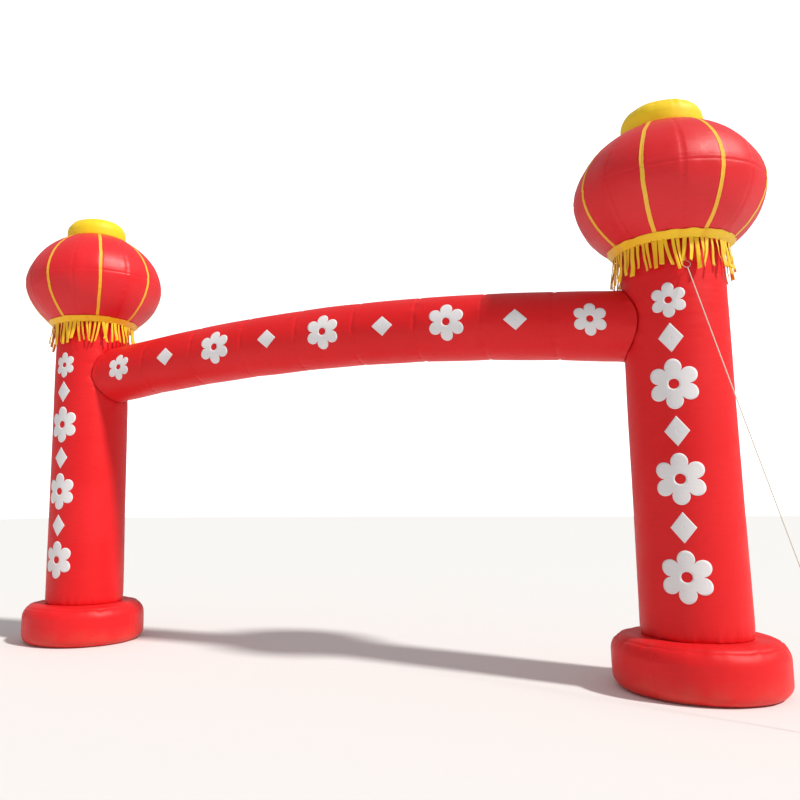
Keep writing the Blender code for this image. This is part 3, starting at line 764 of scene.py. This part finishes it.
def makeCap(side):
    seed = 301 if side == "left" else 331
    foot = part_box(f"cap_{side}")[0].z + 0.0006
    r, k, shoulder = cap["radius"], cap["round"], cap["top"] - cap["crown"]
    line = [(reach, foot) for reach in (0.02, 0.12, 0.24, 0.32)]
    line += [(r - 0.006 * (1 - t) ** 2, foot + t * (shoulder - k - foot)) for t in np.linspace(0, 0.96, 12)]
    line += [(r - k + k * math.cos(t), shoulder - k + k * math.sin(t)) for t in np.linspace(0, 1.45, 24)]
    inner, rim = line[-1]
    line += [(inner * (1 - t), rim + (cap["top"] - rim) * (1 - (1 - t) ** 2))
             for t in np.linspace(0.08, 0.95, 12)]
    line = np.array(line)
    run = np.concatenate([[0], np.cumsum(np.linalg.norm(np.diff(line, axis=0), axis=1))])
    seamRun = run[np.argmin(np.abs(line[:, 1] - (shoulder - k * 0.35)) + 10 * (line[:, 0] < r - k))]
    angles = np.linspace(0, math.tau, cap["around"], endpoint=False)
    angle, along = np.meshgrid(angles, run)
    turn = angle / math.tau
    height = np.broadcast_to(line[:, 1][:, None], angle.shape)
    pleats = softNoise(turn * 41, along * 2, seed, 41) + 0.5 * softNoise(turn * 73, along * 4, seed + 1, 73)
    push = cap["ripple"] * pleats * fade(along - seamRun, 0.06) - 0.005 * dent(along - seamRun, 0.010)
    footPleats = cap["pleat"] * softNoise(turn * 33, along, seed + 2, 33)
    push = push + footPleats * np.clip((height - foot) / 0.02, 0, 1) * fade(height - foot, 0.09)
    push = push + 0.004 * softNoise(turn * 5, along * 4, seed + 3, 5)
    push = push * np.clip((height - foot) / 0.01, 0, 1)
    push = push * np.clip(line[:, 0][:, None] / 0.12, 0, 1)
    radius = line[:, 0][:, None] + push * 0.9
    z = height + push * np.clip((height - shoulder + k) / k, 0, 1) * 0.6
    rings = np.stack([centreX[side] + radius * np.cos(angle), radius * np.sin(angle), z], -1)
    arc = np.linspace(0, math.tau, cap["around"] + 1) * r
    piece = closedTube(f"cap{side.title()}", rings, np.stack(np.meshgrid(arc, run), -1), yellowCloth)
    declareAir(piece, f"cap_{side}")


for side in sides:
    makeCap(side)
print("caps made")


# fringes: a gathered heading cut into tails below

fringe = {
    "tails": 62, "width": 0.040, "length": 0.250, "uneven": 0.045, "thickness": 0.0012,
    "headTop": 3.775, "headTopRadius": 0.528, "neck": 3.716, "neckRadius": 0.472, "ruffle": 0.007,
    "innermost": 0.4515, "flat": (0.32, 3.3), "area": 0.86,
}


def makeFringe(side):
    seed = 401 if side == "left" else 431
    rng = np.random.default_rng(seed)
    angles = np.linspace(0, math.tau, 360, endpoint=False)
    share = np.linspace(0, 1, 9)
    angle, down = np.meshgrid(angles, share)
    turn = angle / math.tau
    radius = fringe["headTopRadius"] + (fringe["neckRadius"] - fringe["headTopRadius"]) * down ** 0.8
    ruffle = softNoise(turn * 60, down * 1.2, seed, 60)
    ruffle = ruffle + 0.5 * softNoise(turn * 103, down * 2, seed + 1, 103)
    ruffle = fringe["ruffle"] * ruffle * (0.6 + 0.6 * np.abs(down - 0.5))
    radius = radius + ruffle - 0.004 * dent(down - 0.55, 0.12)
    radius = radius + 0.004
    height = fringe["headTop"] + (fringe["neck"] - fringe["headTop"]) * down
    height = height + 0.006 * softNoise(turn * 47, 0 * down, seed + 2, 47) * (1 - down)
    top = np.stack([centreX[side] + radius * np.cos(angle), radius * np.sin(angle), height], -1)[::-1]
    cloth = np.stack([angle * 0.49, height], -1)[::-1]
    normals = surfaceNormals(top, True)
    pieces = [patchCloth("heading", top, fringe["thickness"], normals, cloth, fringeCloth, True)]
    pitch = math.tau / fringe["tails"]
    for tail in range(fringe["tails"]):
        start = pitch * (tail + rng.uniform(-0.22, 0.22))
        width = fringe["width"] * rng.uniform(0.55, 1.2)
        length = fringe["length"] + fringe["uneven"] * rng.uniform(-1, 0.75)
        sway = rng.uniform(-0.05, 0.05)
        lean = rng.uniform(0.000, 0.030)
        twist = rng.uniform(-1.0, 1.0)
        cup = rng.uniform(-0.5, 0.9)
        layer = 0.0035 * (tail % 3)
        t = np.linspace(0, 1, 15)[:, None]
        w = np.linspace(-0.5, 0.5, 6)[None, :]
        swing = twist * t ** 1.3
        spread = width * (1 - 0.22 * np.sin(math.pi * t) * abs(twist) - 0.12 * t)
        aside = w * spread * np.cos(swing)
        outward = w * spread * np.sin(swing) + cup * spread * (w ** 2 - 0.08) + lean * t ** 1.2
        wave = t * rng.uniform(0.6, 1.5) + rng.uniform(0, 1)
        outward = outward + 0.006 * np.sin(2 * math.pi * wave) * t
        here = start + (aside + sway * t ** 1.5) / fringe["neckRadius"]
        reach = np.maximum(fringe["neckRadius"] + 0.002 + layer + outward, fringe["innermost"])
        z = fringe["neck"] + 0.012 - length * t + 0.012 * w * np.sin(3 * tail) * t
        place = [centreX[side] + reach * np.cos(here), reach * np.sin(here), z + 0 * reach]
        grid = np.stack(place, -1)[::-1]
        cloth = np.stack(np.broadcast_arrays(w * width + 0.1 * tail, z), -1)[::-1]
        normals = surfaceNormals(grid)
        pieces.append(patchCloth(f"tail{tail}", grid, fringe["thickness"], normals, cloth, fringeCloth))
    bpy.ops.object.select_all(action="DESELECT")
    for piece in pieces:
        piece.select_set(True)
    bpy.context.view_layer.objects.active = pieces[0]
    bpy.ops.object.join()
    piece = pieces[0]
    piece.name = f"fringe{side.title()}"
    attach(piece, "root")
    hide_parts(f"fringe_{side}")


for side in sides:
    makeFringe(side)
print("fringes made")


# white appliques

applique = {
    "thickness": 0.0012, "lift": 0.0024, "heart": 0.20, "notch": 0.58, "petals": 6,
    "rings": 9, "spokes": 144, "columnTurn": math.radians(-5),
    "filled": {"blossom": 0.62, "lozenge": 0.5},      # share of its rectangle that is cloth
}
# kind, height up the column, width, height
columnMotifs = (
    ("blossom", 0.94, 0.42, 0.42), ("lozenge", 1.33, 0.20, 0.25), ("blossom", 1.72, 0.42, 0.42),
    ("lozenge", 2.11, 0.20, 0.25), ("blossom", 2.50, 0.42, 0.42), ("lozenge", 2.89, 0.20, 0.25),
    ("blossom", 3.21, 0.30, 0.30),
)
# kind, section counted from the middle one, width, height
beamMotifs = (
    ("blossom", -4, 0.30, 0.30), ("lozenge", -3, 0.22, 0.20), ("blossom", -2, 0.37, 0.37),
    ("lozenge", -1, 0.22, 0.20), ("blossom", 0, 0.37, 0.37), ("lozenge", 1, 0.22, 0.20),
    ("blossom", 2, 0.37, 0.37), ("lozenge", 3, 0.22, 0.20), ("blossom", 4, 0.30, 0.30),
)


def motifGrid(kind, width, height):
    # flat (across, up) points in rings from the inner edge out
    spoke = np.linspace(0, math.tau, applique["spokes"], endpoint=False)
    if kind == "blossom":
        wave = np.abs(np.cos(applique["petals"] / 2 * (spoke - math.pi / 2)))
        outer = applique["notch"] + (1 - applique["notch"]) * wave ** 0.62
        inner = applique["heart"]
    else:
        outer = 1 / (np.abs(np.cos(spoke)) + np.abs(np.sin(spoke)))
        inner = 0.0
    share = np.linspace(0, 1, applique["rings"])[:, None]
    reach = np.maximum(inner + (outer - inner) * share, 0.02)
    return reach * width / 2 * np.cos(spoke), reach * height / 2 * np.sin(spoke)


def declareMotif(top, cloth, name, cadName):
    normals = surfaceNormals(top[::-1], True)
    piece = patchCloth(name, top[::-1], applique["thickness"], normals, cloth[::-1], whiteCloth, True)
    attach(piece, "root")
    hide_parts(cadName)


def makeMotifs():
    for side in sides:
        for index, (kind, centre, width, height) in enumerate(columnMotifs):
            across, up = motifGrid(kind, width, height)
            angle = -math.pi / 2 + applique["columnTurn"] + across / column["footRadius"]
            top = columnPoint(side, angle, centre + up, applique["lift"])
            name = f"{kind}Column{side.title()}{index + 1}"
            declareMotif(top, np.stack([across, up], -1), name, f"{kind}_column_{side}_{index + 1}")
    for index, (kind, section, width, height) in enumerate(beamMotifs):
        across, up = motifGrid(kind, width, height)
        x = section * beam["section"] + across
        top = beamPoint(x, up / beam["radius"], applique["lift"])
        declareMotif(top, np.stack([across, up], -1), f"{kind}Beam{index + 1}", f"{kind}_beam_{index + 1}")


makeMotifs()
print("appliques made")


# strap that holds the ring

strap = {
    "angle": math.radians(15), "height": 3.525, "width": 0.018, "thickness": 0.0012, "length": 0.075,
    "loop": 0.0085, "cut": 0.17, "wall": 0.4315,
}


def makeStrap():
    out = np.array([math.sin(strap["angle"]), -math.cos(strap["angle"]), 0])
    across = np.array([math.cos(strap["angle"]), math.sin(strap["angle"]), 0])
    facing = np.array(-math.pi / 2 + strap["angle"])
    wall = columnRadius("right", facing, np.array(strap["height"])) + 0.003
    loop, length = strap["loop"], strap["length"]
    reach = max(float(wall), strap["wall"]) + loop
    middle = np.array([centreX["right"], 0, strap["height"]]) + out * reach
    line = [(-loop, length * t) for t in np.linspace(1, 0.1, 10)]
    line += [(loop * math.cos(t), loop * math.sin(t)) for t in np.linspace(math.pi, math.tau, 14)]
    line += [(loop * 0.6, length * 0.15), (loop * 0.1, length * 0.33), (-loop * 0.45, length * 0.48)]
    line += [(-loop * 0.55, length * t) for t in (0.6, 0.75, 0.9)]
    rows = []
    for reach, rise in line:
        centre = middle + out * reach + np.array([0, 0, rise])
        rows.append([centre + across * strap["width"] * w for w in np.linspace(-0.5, 0.5, 5)])
    top = np.array(rows)
    run = np.linspace(0, 0.16, len(line))
    cloth = np.stack(np.meshgrid(np.linspace(0, strap["width"], 5), run), -1)
    piece = patchCloth("guyStrap", top, strap["thickness"], surfaceNormals(top), cloth, strapCloth)
    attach(piece, "root")
    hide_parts("guy_tab")


makeStrap()
print("strap made")


# floor and light

studio = {
    "floor": (0.84, 0.84, 0.84), "sky": 0.42, "backdrop": 1.7,
    "sun": 3.3, "sunTurn": 10, "sunHeight": 45, "sunSoftness": 5,
}


def makeStudio():
    bpy.ops.mesh.primitive_plane_add(size=160, location=(0, 0, -0.0005))
    floor = bpy.context.active_object
    floor.name = "floor"
    material = bpy.data.materials.new("pale floor")
    material.use_nodes = True
    shader = material.node_tree.nodes["Principled BSDF"]
    shader.inputs["Base Color"].default_value = (*studio["floor"], 1)
    shader.inputs["Roughness"].default_value = 0.9
    floor.data.materials.append(material)
    world = bpy.data.worlds.new("studio")
    world.use_nodes = True
    tree = world.node_tree
    tree.nodes.clear()
    soft = node(tree, "ShaderNodeBackground", (0, 0))
    soft.inputs["Color"].default_value = (1.0, 1.0, 1.0, 1)
    soft.inputs["Strength"].default_value = studio["sky"]
    white = node(tree, "ShaderNodeBackground", (0, -150))
    white.inputs["Strength"].default_value = studio["backdrop"]
    seen = node(tree, "ShaderNodeLightPath", (0, 300))
    mix = node(tree, "ShaderNodeMixShader", (250, 0))
    tree.links.new(seen.outputs["Is Camera Ray"], mix.inputs[0])
    tree.links.new(soft.outputs[0], mix.inputs[1])
    tree.links.new(white.outputs[0], mix.inputs[2])
    out = node(tree, "ShaderNodeOutputWorld", (450, 0))
    tree.links.new(mix.outputs[0], out.inputs["Surface"])
    bpy.context.scene.world = world
    sun = bpy.data.lights.new("key", "SUN")
    sun.energy = studio["sun"]
    sun.angle = math.radians(studio["sunSoftness"])
    sun.color = (1.0, 0.97, 0.92)
    lamp = bpy.data.objects.new("key", sun)
    bpy.context.scene.collection.objects.link(lamp)
    turn, rise = math.radians(studio["sunTurn"]), math.radians(studio["sunHeight"])
    towards = Vector((math.cos(turn) * math.cos(rise), -math.sin(turn) * math.cos(rise), math.sin(rise)))
    lamp.rotation_euler = towards.to_track_quat("Z", "Y").to_euler()
    bpy.context.scene.view_settings.view_transform = "Standard"


makeStudio()
print("studio lit")
